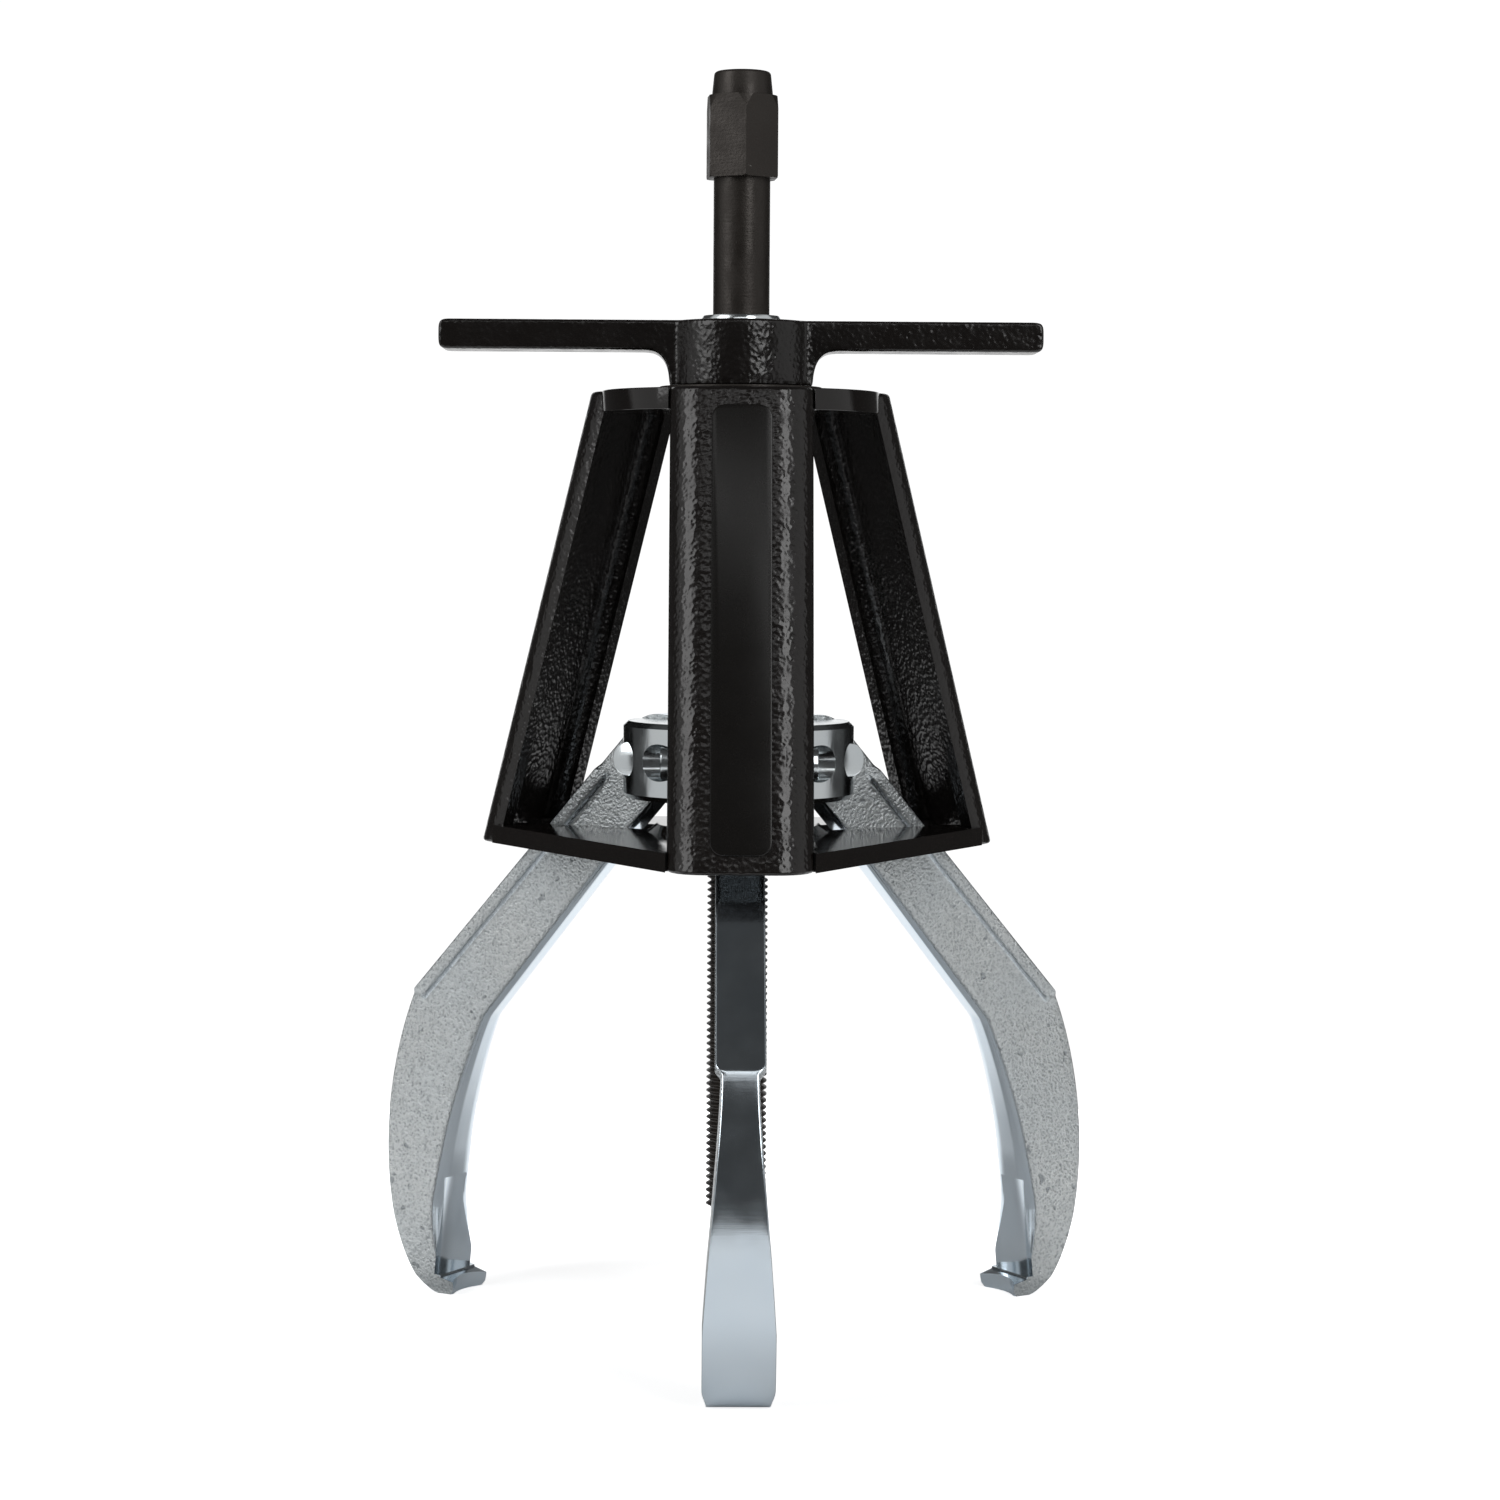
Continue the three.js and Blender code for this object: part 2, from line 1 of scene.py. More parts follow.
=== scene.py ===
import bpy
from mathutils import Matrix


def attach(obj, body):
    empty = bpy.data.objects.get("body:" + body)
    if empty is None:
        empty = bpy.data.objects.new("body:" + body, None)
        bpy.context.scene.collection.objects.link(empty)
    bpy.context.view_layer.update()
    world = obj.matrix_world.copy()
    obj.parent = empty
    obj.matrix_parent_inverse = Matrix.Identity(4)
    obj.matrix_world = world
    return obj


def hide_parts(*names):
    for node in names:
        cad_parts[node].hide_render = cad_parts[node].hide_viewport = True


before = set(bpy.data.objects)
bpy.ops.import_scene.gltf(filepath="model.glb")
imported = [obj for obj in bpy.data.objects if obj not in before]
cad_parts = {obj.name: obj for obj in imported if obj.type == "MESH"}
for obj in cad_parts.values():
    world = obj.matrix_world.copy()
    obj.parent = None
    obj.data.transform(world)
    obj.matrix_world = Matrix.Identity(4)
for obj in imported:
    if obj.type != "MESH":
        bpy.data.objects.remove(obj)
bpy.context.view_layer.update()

# A three-jaw gear puller whose jaws are closed by a cage that slides down under a T-handle.
# Shapes are made in millimetres and scaled to metres. +Z is up along the forcing screw, from the
# pressing face. Each arm is made along +X and turned to its azimuth; the first one faces -Y.
import math

import bmesh
import bpy
from mathutils import Matrix, Vector

# General
MM = 0.001
ARMS = 3  # jaws, and cage legs
FIRST_AZIMUTH = -90  # degrees
CLEARANCE = 0.3  # between pieces that touch on the real tool

# Forcing screw
SCREW_RADIUS = 7.14
SCREW_PITCH = 1.5875
SCREW_THREAD_DEPTH = 0.85
SCREW_END_RADIUS = 5.7  # turned-down end
SCREW_END_CHAMFER = 0.4
THREAD_BOTTOM = 12.5
SHANK_BOTTOM = 220
SHANK_RADIUS = 6.6
HEX_BOTTOM = 257
HEX_TOP = 276
HEX_FLAT = 7.9375  # half the distance across flats
HEX_CHAMFER = 3.4  # height of the turned-off corners at the top
HEX_FOOT_CHAMFER = 0.5  # and at the bottom
HEX_TURN = 5  # degrees from facing -Y with a corner
PILOT_RADIUS = 7.1
PILOT_TOP_RADIUS = 6.65
PILOT_TOP = 281.7
PILOT_ROUNDING = 0.9
SOCKET_RADIUS = 2.7  # bore in the screw's end, for the centre point's stem
SOCKET_TOP = 19.6
POINT_TOP = 10

# Jaw head
DRUM_RADIUS = 27.15
DRUM_BOTTOM = 112.4
DRUM_TOP = 130.5
DRUM_CHAMFER = 1.2
SLEEVE_RADIUS = 9.8
SLEEVE_SEAT_RADIUS = 9.78  # plain part of the sleeve, in the drum
SLEEVE_PITCH = 2.54
SLEEVE_THREAD_DEPTH = 1.25
SLEEVE_TOP = 225.1
SLEEVE_CHAMFER = 0.9
BORE_RADIUS = 7.44
BORE_CHAMFER = 0.5

# Jaw bolts
PIVOT = Vector((19.7, 0, 121.6))
BOLT_RADIUS = 4
BOLT_HALF = 18.2  # half its length
BOLT_CHAMFER = 0.45
LOCK_RADIUS = 2  # lock screw of a bolt
LOCK_OFFSET = 11  # along the bolt, from the jaw's middle

# Jaws
JAW_WEB = 8.2  # thickness of the arm
JAW_HALF_WIDTH = 10  # of the eye, and of the arm out to its flange
JAW_ANGLE = math.radians(42.8)  # from vertical
ARM_INNER_START = 6.3  # from the arm's middle line to its inner edge, at the pivot
ARM_INNER_END = 9.1  # and at the bend
ARM_LENGTH = 81.4
FLANGE_WIDTH = 11
FLANGE_THICKNESS = 3.5
FLANGE_START = 13.3  # from the pivot along the arm
FLANGE_END = 91.7
FLANGE_CORNER = 1.4
FLANGE_FILLET = 2.2
JAW_REACH = 95.9  # widest point of the jaw's back, from the screw's axis
JAW_REACH_HEIGHT = 27
JAW_FOOT = -13.4  # height of the tip's flat underside
TIP_HALF_WIDTH = 7.95
TIP_TOP = 4  # up to here the tip keeps its width
TAPER_TOP = 59  # and from here up the arm has its own
GRIP_RADIUS = 14  # hollow machined in the gripping face
GRIP_DEPTH = 2.2
GRIP_LENGTH = 23.5
GRIP_TILT = math.radians(6.4)
GRIP_WALL = 81.2  # gripping face above the lip, from the screw's axis
LIP_FRONT = 75.5
LIP_BACK = 79.2
LIP_TOP = -10.2
LIP_FILLET_TOP = LIP_TOP + 1

# Cage
CAGE_BOTTOM = 100
CAGE_TOP = 207.5
LEG_BOTTOM_RADIUS = 65.2  # of the outer face, from the screw's axis
LEG_TOP_RADIUS = 34.7
LEG_LEAN = (LEG_BOTTOM_RADIUS - LEG_TOP_RADIUS) / (CAGE_TOP - CAGE_BOTTOM)
LEG_WIDTH = 32.5
LEG_CORNER = 8.5
LEG_THICKNESS = 4.5
LABEL_WIDTH = 13.6
LABEL_LENGTH = 103
LABEL_THICKNESS = 0.45
LABEL_CORNER = 3

# T-handle
HUB_BORE_ZONE = 11.5  # radius round the hub's threaded bore, where the edges are less soft
JOURNAL_TOP = 209  # the machined journal below this keeps its edges

# Studio
WALL_LIGHT = 1.0
PANEL_LIGHT = 0.5
ROOM_LIGHT = 0.05
FLOOR_RADII = (200, 270, 340)
FLOOR_GLOW = 0.85
LIGHT_AIM = (0, 0, 0.13)
CAMERA_PLACE = (-0.00848, -0.84231, 0.17515)
CAMERA_HEADING = 0.761  # degrees
CAMERA_PITCH = 3.507
CAMERA_ROLL = 0.367
CAMERA_LENS = 85.99


# ---- Mesh helpers ------------------------------------------------------------------

def ring(bm, radius, height, columns):
    """One level circle of vertices"""
    angles = [2 * math.pi * column / columns for column in range(columns)]
    return [bm.verts.new((radius * math.cos(a), radius * math.sin(a), height)) for a in angles]


def bridge(bm, lower, upper):
    """A closed band of faces between two loops of the same length"""
    count = len(lower)
    for i in range(count):
        after = (i + 1) % count
        bm.faces.new((lower[i], lower[after], upper[after], upper[i]))


def stack(bm, loops):
    """Bands between each loop and the next"""
    for lower, upper in zip(loops, loops[1:]):
        bridge(bm, lower, upper)


def lathe(profile, columns=64):
    """A closed solid turned about Z from (radius, height) pairs listed upwards along its outside"""
    bm = bmesh.new()
    loops = [ring(bm, radius, height, columns) for radius, height in profile]
    stack(bm, loops)
    bm.faces.new(loops[0][::-1])
    bm.faces.new(loops[-1])
    return bm


def turned_tube(profile, columns=64):
    """A closed hollow solid turned about Z: the profile runs up its outside and down its inside"""
    bm = bmesh.new()
    loops = [ring(bm, radius, height, columns) for radius, height in profile]
    stack(bm, loops + loops[:1])
    return bm


def rounded(corner, radius, steps=3):
    """Points of a quarter circle in a turned profile, from an outer corner's side to its top"""
    x, z = corner
    turns = [math.pi / 2 * i / steps for i in range(steps + 1)]
    return [(x - radius + radius * math.cos(t), z - radius + radius * math.sin(t)) for t in turns]


def finish_mesh(bm, name, sharp_angle=32):
    """Turns the millimetre bmesh into an object in metres, smooth except across sharp edges"""
    bmesh.ops.scale(bm, vec=(MM, MM, MM), verts=bm.verts)
    bmesh.ops.recalc_face_normals(bm, faces=bm.faces)
    mesh = bpy.data.meshes.new(name)
    bm.to_mesh(mesh)
    bm.free()
    made = bpy.data.objects.new(name, mesh)
    bpy.context.collection.objects.link(made)
    shade(made, sharp_angle)
    return made


def shade(thing, sharp_angle=32):
    """Smooth shading, except across edges sharper than the angle"""
    for face in thing.data.polygons:
        face.use_smooth = True
    thing.data.set_sharp_from_angle(angle=math.radians(sharp_angle))


def bake_modifiers(thing):
    """Turns the thing's modifiers into mesh"""
    bpy.context.view_layer.update()
    depsgraph = bpy.context.evaluated_depsgraph_get()
    mesh = bpy.data.meshes.new_from_object(thing.evaluated_get(depsgraph))
    thing.modifiers.clear()
    thing.data = mesh


def combine(thing, tool, operation):
    modifier = thing.modifiers.new("combine", "BOOLEAN")
    modifier.solver = "EXACT"
    modifier.operation = operation
    modifier.object = tool
    bake_modifiers(thing)
    bpy.data.objects.remove(tool)


def cut(thing, *tools):
    """Takes each tool's space out of the thing"""
    for tool in tools:
        combine(thing, tool, "DIFFERENCE")


def round_edges(thing, radius, segments=2, angle=35):
    """Rounds off every hard edge"""
    modifier = thing.modifiers.new("round", "BEVEL")
    modifier.width = radius * MM
    modifier.segments = segments
    modifier.limit_method = "ANGLE"
    modifier.angle_limit = math.radians(angle)
    modifier.miter_outer = "MITER_ARC"
    bake_modifiers(thing)
    shade(thing, 40)


def keep_flats_flat(thing):
    """Normals that leave flat faces evenly lit beside their rounded edges"""
    modifier = thing.modifiers.new("normals", "WEIGHTED_NORMAL")
    modifier.keep_sharp = True
    modifier.weight = 60


def rod_tool(radius, start, end, columns=48):
    """A round cutter between two points"""
    start, end = Vector(start), Vector(end)
    axis = end - start
    bm = lathe([(radius, 0), (radius, axis.length)], columns)
    turn = Vector((0, 0, 1)).rotation_difference(axis.normalized()).to_matrix().to_4x4()
    bmesh.ops.transform(bm, matrix=Matrix.Translation(start) @ turn, verts=bm.verts)
    return finish_mesh(bm, "tool")


def box_tool(low, high):
    """A block-shaped cutter between two corners"""
    low, high = Vector(low), Vector(high)
    bm = bmesh.new()
    size = Matrix.Diagonal((*(high - low), 1))
    bmesh.ops.create_cube(bm, size=1, matrix=Matrix.Translation((low + high) / 2) @ size)
    return finish_mesh(bm, "tool")


def azimuth(index):
    """Direction of an arm"""
    return math.radians(FIRST_AZIMUTH + index * 360 / ARMS)


def turned_tool(tool, index):
    """Turns a cutter to its arm"""
    tool.rotation_euler.z = azimuth(index)
    bpy.context.view_layer.update()
    return tool


def place(thing, material, body, slot, *nodes, index=None):
    """Turns a piece to its arm, gives it its finish, and puts it on its body in place of its nodes"""
    if index is not None:
        thing.rotation_euler.z = azimuth(index)
    thing.data.materials.clear()
    thing.data.materials.append(material)
    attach(thing, body)
    if nodes:
        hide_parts(*nodes)
    return thing


def copy_of(node, name):
    """A copy of a CAD node's mesh"""
    bm = bmesh.new()
    bm.from_mesh(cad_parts[node].data)
    bmesh.ops.remove_doubles(bm, verts=bm.verts, dist=1e-6)
    bmesh.ops.scale(bm, vec=(1 / MM, 1 / MM, 1 / MM), verts=bm.verts)
    return finish_mesh(bm, name)


def refined(node, name, radius, segments=2, angle=35):
    """A copy of a CAD node with its hard edges rounded"""
    made = copy_of(node, name)
    round_edges(made, radius, segments, angle)
    keep_flats_flat(made)
    return made


# ---- Threads -------------------------------------------------------------------------

def smooth(value):
    """Eases from 0 to 1"""
    value = min(max(value, 0.0), 1.0)
    return value * value * (3 - 2 * value)


def mix(low, high, share):
    return low + (high - low) * share


def threaded(bm, lower, radii, plain, bottom, top, pitch):
    """A right-hand V thread, as rows that climb one pitch each turn, from the loop `lower` up to a
    new loop. It fades into the plain radii below and above it."""
    columns = len(lower)
    root, crest = radii
    shape = [(0.0, root), (0.22, root), (0.54, crest), (0.68, crest)]
    turns = int((top - bottom) / pitch) - 1
    rows = turns * len(shape)
    fade = 1.2 * pitch

    def vertex(row, column):
        turn, step = divmod(row, len(shape))
        share, radius = shape[step]
        height = bottom + pitch * (turn + share + column / columns)
        start = smooth((height - bottom - pitch) / fade)
        end = smooth((bottom + pitch * turns - height) / fade)
        radius = mix(plain[0], radius, start) if start < 1 else mix(plain[1], radius, end)
        angle = 2 * math.pi * column / columns
        return bm.verts.new((radius * math.cos(angle), radius * math.sin(angle), height))

    extra = len(shape)
    grid = [[vertex(row, column) for row in range(rows + 1 + (extra if column == 0 else 0))]
            for column in range(columns)]
    for row in range(rows):
        for column in range(columns - 1):
            bm.faces.new((grid[column][row], grid[column + 1][row],
                          grid[column + 1][row + 1], grid[column][row + 1]))
        bm.faces.new((grid[-1][row], grid[0][row + extra], grid[0][row + extra + 1], grid[-1][row + 1]))
    upper = ring(bm, plain[1], top, columns)
    for column in range(columns - 1):
        bm.faces.new((lower[column], lower[column + 1], grid[column + 1][0], grid[column][0]))
    for column in range(1, columns - 1):
        bm.faces.new((grid[column][rows], grid[column + 1][rows], upper[column + 1], upper[column]))
    seam = grid[0]
    bm.faces.new((lower[-1], lower[0], *seam[:extra + 1], grid[-1][0]))
    bm.faces.new((grid[-1][rows], seam[-1], upper[0], upper[-1]))
    bm.faces.new((seam[rows], grid[1][rows], upper[1], upper[0], *seam[:rows:-1]))
    return upper


# ---- Forcing screw and centre point ----------------------------------------------------

def screw_rod():
    """The turned-down end with its socket, the thread and the plain shank"""
    columns = 56
    bottom = POINT_TOP + CLEARANCE
    bm = bmesh.new()
    inside = [ring(bm, SOCKET_RADIUS, height, columns) for height in (SOCKET_TOP, bottom)]
    outside = [ring(bm, SCREW_END_RADIUS - SCREW_END_CHAMFER, bottom, columns),
               ring(bm, SCREW_END_RADIUS, bottom + SCREW_END_CHAMFER, columns),
               ring(bm, SCREW_END_RADIUS, THREAD_BOTTOM, columns)]
    stack(bm, inside + outside)
    bm.faces.new(inside[0])
    upper = threaded(bm, outside[-1], (SCREW_RADIUS - SCREW_THREAD_DEPTH, SCREW_RADIUS),
                     (SCREW_END_RADIUS, SHANK_RADIUS), THREAD_BOTTOM, SHANK_BOTTOM, SCREW_PITCH)
    end = ring(bm, SHANK_RADIUS, HEX_BOTTOM + 3, columns)
    stack(bm, [upper, end])
    bm.faces.new(end)
    return finish_mesh(bm, "forcing_screw_rod")


def screw_hex():
    """The hexagon, its corners turned off to a cone; the round pilot above it is made on its own"""
    corner = HEX_FLAT / math.cos(math.pi / 6)
    bm = lathe([(corner, HEX_BOTTOM), (corner, HEX_TOP)], 6)
    bmesh.ops.rotate(bm, verts=bm.verts, matrix=Matrix.Rotation(math.radians(HEX_TURN - 90), 3, "Z"))
    made = finish_mesh(bm, "forcing_screw_hex")
    cone = finish_mesh(lathe([
        (HEX_FLAT + 0.8, HEX_BOTTOM), (corner + 0.05, HEX_BOTTOM + HEX_FOOT_CHAMFER),
        (corner + 0.05, HEX_TOP - HEX_CHAMFER), (HEX_FLAT + 0.4, HEX_TOP),
    ], 96), "cone")
    combine(made, cone, "INTERSECT")
    round_edges(made, 0.3, 3, 20)
    keep_flats_flat(made)
    return made


def screw_pilot():
    """The round pilot, tapering a little, with a root that sits in the hexagon's top"""
    root = PILOT_RADIUS - 0.9
    profile = [(root, HEX_TOP - 2), (root, HEX_TOP - 0.01),
               (PILOT_RADIUS, HEX_TOP + 0.15), (PILOT_RADIUS - 0.05, HEX_TOP + 0.9)]
    profile += rounded((PILOT_TOP_RADIUS, PILOT_TOP), PILOT_ROUNDING, 5)
    return finish_mesh(lathe(profile, 72), "forcing_screw_pilot")


# ---- Jaw head --------------------------------------------------------------------------

def head_drum():
    """The drum: a slot for each jaw, a bore across it for the bolt, and the lock screw's hole"""
    rim = DRUM_RADIUS - DRUM_CHAMFER
    inside = BORE_RADIUS + 0.4
    made = finish_mesh(turned_tube([
        (rim, DRUM_BOTTOM), (DRUM_RADIUS, DRUM_BOTTOM + DRUM_CHAMFER),
        (DRUM_RADIUS, DRUM_TOP - DRUM_CHAMFER), (rim, DRUM_TOP),
        (inside, DRUM_TOP), (inside, DRUM_BOTTOM),
    ], 120), "jaw_head_drum")
    half_slot = JAW_WEB / 2 + CLEARANCE
    slot_start = PIVOT.x - JAW_HALF_WIDTH - CLEARANCE
    hole = BOLT_RADIUS + CLEARANCE
    lock_hole = LOCK_RADIUS + CLEARANCE
    for index in range(ARMS):
        slot = box_tool((slot_start, -half_slot, DRUM_BOTTOM - 5),
                        (DRUM_RADIUS + 5, half_slot, DRUM_TOP + 5))
        bore = rod_tool(hole, (PIVOT.x, -40, PIVOT.z), (PIVOT.x, 40, PIVOT.z))
        lock = rod_tool(lock_hole, (PIVOT.x, LOCK_OFFSET, DRUM_BOTTOM - 1),
                        (PIVOT.x, LOCK_OFFSET, PIVOT.z), 24)
        cut(made, *(turned_tool(tool, index) for tool in (slot, bore, lock)))
    round_edges(made, 0.25, 2, 30)
    keep_flats_flat(made)
    return made


def head_sleeve():
    """The long sleeve: plain in the drum, threaded above it, with a chamfered mouth"""
    columns = 64
    foot = DRUM_BOTTOM + 0.06
    thread_bottom = DRUM_TOP + 0.6
    bm = bmesh.new()
    bottom = ring(bm, SLEEVE_SEAT_RADIUS, foot, columns)
    lower = ring(bm, SLEEVE_SEAT_RADIUS, thread_bottom, columns)
    upper = threaded(bm, lower, (SLEEVE_RADIUS - SLEEVE_THREAD_DEPTH, SLEEVE_RADIUS),
                     (SLEEVE_SEAT_RADIUS, SLEEVE_RADIUS - 0.4),
                     thread_bottom, SLEEVE_TOP - SLEEVE_CHAMFER, SLEEVE_PITCH)
    rim = [ring(bm, SLEEVE_RADIUS - SLEEVE_CHAMFER, SLEEVE_TOP, columns),
           ring(bm, BORE_RADIUS + BORE_CHAMFER, SLEEVE_TOP, columns),
           ring(bm, BORE_RADIUS, SLEEVE_TOP - BORE_CHAMFER, columns),
           ring(bm, BORE_RADIUS, foot, columns)]
    stack(bm, [bottom, lower])
    stack(bm, [upper] + rim + [bottom])
    return finish_mesh(bm, "jaw_head_sleeve")


def bolt(index):
    """A jaw's bolt, across its arm, with rounded ends"""
    profile = [(BOLT_RADIUS - BOLT_CHAMFER, -BOLT_HALF), (BOLT_RADIUS - 0.12, 0.15 - BOLT_HALF),
               (BOLT_RADIUS, BOLT_CHAMFER - BOLT_HALF)]
    profile += [(radius, -height) for radius, height in profile[::-1]]
    bm = lathe(profile, 48)
    turn = Matrix.Rotation(math.pi / 2, 4, "X")
    bmesh.ops.transform(bm, matrix=Matrix.Translation(PIVOT) @ turn, verts=bm.verts)
    return finish_mesh(bm, f"jaw_bolt_body_{index + 1}")


# ---- Jaws ------------------------------------------------------------------------------

def on_arm(along, outward):
    """A point in a jaw's side view, from a distance along the open arm and out from its middle line"""
    return (PIVOT.x + along * math.sin(JAW_ANGLE) + outward * math.cos(JAW_ANGLE),
            PIVOT.z - along * math.cos(JAW_ANGLE) + outward * math.sin(JAW_ANGLE))


def bezier(points, steps=24):
    """Points along a quadratic or cubic curve, without its first point"""
    order = len(points) - 1
    found = []
    for step in range(1, steps + 1):
        t = step / steps
        weights = [math.comb(order, i) * t ** i * (1 - t) ** (order - i) for i in range(order + 1)]
        found.append(tuple(sum(w * p[axis] for w, p in zip(weights, points)) for axis in (0, 1)))
    return found


def eye_arc(start, end, steps=32):
    """Points round the jaw's eye, between two angles in degrees"""
    turns = [math.radians(mix(start, end, i / steps)) for i in range(steps + 1)]
    return [(PIVOT.x + JAW_HALF_WIDTH * math.cos(t), PIVOT.z + JAW_HALF_WIDTH * math.sin(t))
            for t in turns]


def outer_edge():
    """The jaw's outer boundary from its foot up to the top of its eye"""
    knee = on_arm(FLANGE_END, JAW_HALF_WIDTH)
    widest = (JAW_REACH, JAW_REACH_HEIGHT)
    points = [(LIP_FRONT + 5, JAW_FOOT)]
    points += bezier([points[-1], (89.5, -11.5), (JAW_REACH, 8), widest])
    points += bezier([widest, (JAW_REACH, 40), (93.5, 52), knee])
    return points + eye_arc(math.degrees(JAW_ANGLE), 90)


def inner_edge():
    """The jaw's inner boundary from its foot, over the lip, up to the top of its eye"""
    points = [(LIP_FRONT + 1, JAW_FOOT), (LIP_FRONT, JAW_FOOT + 1.2), (LIP_FRONT, LIP_TOP),
              (LIP_BACK, LIP_FILLET_TOP)]
    points += bezier([points[-1], (81, -2), (80.7, 9)], 12)
    points += [(78.6, 21)]
    points += bezier([points[-1], (76.8, 33), (71.3, 49.5), on_arm(ARM_LENGTH, -ARM_INNER_END)])
    eye_end = 180 + math.degrees(JAW_ANGLE + math.acos(ARM_INNER_START / JAW_HALF_WIDTH))
    return points + eye_arc(eye_end, 90)


def across(points, height):
    """Where a boundary listed upwards crosses a height"""
    for (x0, z0), (x1, z1) in zip(points, points[1:]):
        if z0 <= height <= z1 and z1 > z0:
            return mix(x0, x1, (height - z0) / (z1 - z0))
    return points[-1][0] if height > points[-1][1] else points[0][0]


def half_width(height):
    """Half the jaw's thickness: even along the arm, wider at the tip"""
    web = JAW_WEB / 2
    if height > TAPER_TOP:
        return web
    if height < TIP_TOP:
        return mix(7.0, TIP_HALF_WIDTH, smooth((height - JAW_FOOT) / 5))
    start = (8.0, TIP_TOP)
    curve = bezier([start, (6.4, 30), (web + 0.2, 46), (web, TAPER_TOP)], 20)
    return across([start] + curve, height)


def flange_rise(x, height):
    """How far the flange stands out of the arm's side at a point of its side view"""
    dx, dz = x - PIVOT.x, height - PIVOT.z
    along = dx * math.sin(JAW_ANGLE) - dz * math.cos(JAW_ANGLE)
    outward = dx * math.cos(JAW_ANGLE) + dz * math.sin(JAW_ANGLE)
    start = FLANGE_START + FLANGE_CORNER
    past_end = max(along - FLANGE_END + FLANGE_CORNER, start - along, 0)
    past_side = max(JAW_HALF_WIDTH - FLANGE_THICKNESS + FLANGE_CORNER - outward, 0)
    distance = math.hypot(past_end, past_side) - FLANGE_CORNER
    return (FLANGE_WIDTH - JAW_WEB) / 2 * smooth(0.5 - distance / FLANGE_FILLET)


def slice_points(height, inner, outer, slope_in, slope_out):
    """One level section through a jaw, from the middle of its inner face round one side"""
    x_in, x_out = across(inner, height), across(outer, height)
    span = x_out - x_in
    fit = min(1.0, span / 16)
    width = half_width(height)
    near_eye = smooth((height - 100) / 12)
    inner_round = mix(0.45, 1.8, smooth((height + 8) / 10)) * mix(1.0, 0.3, near_eye) * fit
    inner_turn = mix(0.45, 0.6 * width, smooth((height + 7) / 21)) * mix(1.0, 0.4, near_eye)
    outer_round = 0.55 * fit
    lean_in = inner_round * math.hypot(1, min(abs(slope_in), 1.2))
    lean_out = outer_round * math.hypot(1, min(abs(slope_out), 1.2))
    points = []
    for share in (0.0, 0.3, 0.6, 0.85):
        points.append((x_in, share * (width - inner_turn)))
    for step in range(8):
        turn = math.pi / 2 * step / 7
        points.append((x_in + lean_in * (1 - math.cos(turn)),
                       width - inner_turn * (1 - math.sin(turn))))
    flange = FLANGE_THICKNESS / math.cos(JAW_ANGLE)
    steps = (8.5, 5.5, 3.2, 1.6, 1.0, 0.6, 0.3, 0.0, -0.3, -0.6, -1.0, -1.9)
    offsets = [flange + step for step in steps]
    usable = span - lean_in - lean_out
    middle = [x_in + lean_in + (usable - fit * offsets[0]) * share for share in (0.25, 0.5, 0.75)]
    side = middle + [x_out - lean_out - fit * (offset - 0.4) for offset in offsets]
    points += [(x, width + flange_rise(x, height)) for x in side if x > x_in + lean_in]
    edge = width + flange_rise(x_out, height)
    for step in range(5):
        turn = math.pi / 2 * step / 4
        points.append((x_out - lean_out * (1 - math.sin(turn)),
                       edge - outer_round * (1 - math.cos(turn))))
    for share in (0.8, 0.4, 0.0):
        points.append((x_out, share * (edge - outer_round)))
    return points


def slice_heights():
    """Levels of the sections: close together where the side view turns quickly"""
    eye_top = PIVOT.z + JAW_HALF_WIDTH
    heights = [JAW_FOOT, -13.1, -12.6, JAW_FOOT + 1.2, -11.2, LIP_TOP, -9.9, -9.6, LIP_FILLET_TOP]
    heights += [-9.1 + 0.15 * i * (1 + 0.1 * i) for i in range(1, 14)]
    height = -4.5
    while height < eye_top - 1.4:
        near_end = 56.5 < height < 63.5 or 113 < height < 121
        heights.append(height)
        height += 0.35 if near_end else 1.2
    for angle in (61, 65, 69, 73, 77, 80, 83, 86, 88):
        heights.append(PIVOT.z + JAW_HALF_WIDTH * math.sin(math.radians(angle)))
    return sorted(heights)


def slope(points, height):
    """How far a boundary moves outward for each millimetre up"""
    step = 0.4
    return (across(points, height + step) - across(points, height - step)) / (2 * step)


def jaw_mesh():
    """The forged jaw: level sections from foot to eye, then the machined grip, lip and eye bore"""
    inner, outer = inner_edge(), outer_edge()
    bm = bmesh.new()
    loops = []
    for height in slice_heights():
        half = slice_points(height, inner, outer, slope(inner, height), slope(outer, height))
        points = half + [(x, -y) for x, y in half[-2:0:-1]]
        loops.append([bm.verts.new((x, y, height)) for x, y in points])
    stack(bm, loops)
    bm.faces.new(loops[0][::-1])
    bm.faces.new(loops[-1])
    made = finish_mesh(bm, "jaw_shape")
    wall = GRIP_WALL + GRIP_DEPTH - GRIP_RADIUS
    base = LIP_TOP + 0.4
    top = (wall - GRIP_LENGTH * math.sin(GRIP_TILT), 0, base + GRIP_LENGTH * math.cos(GRIP_TILT))
    grip = rod_tool(GRIP_RADIUS, (wall, 0, base), top, 128)
    lip_middle = LIP_FRONT + GRIP_DEPTH - GRIP_RADIUS
    lip = rod_tool(GRIP_RADIUS, (lip_middle, 0, JAW_FOOT - 1), (lip_middle, 0, LIP_TOP + 2), 128)
    eye = rod_tool(BOLT_RADIUS + CLEARANCE, (PIVOT.x, -9, PIVOT.z), (PIVOT.x, 9, PIVOT.z), 48)
    cut(made, grip, lip, eye)
    shade(made, 34)
    return made


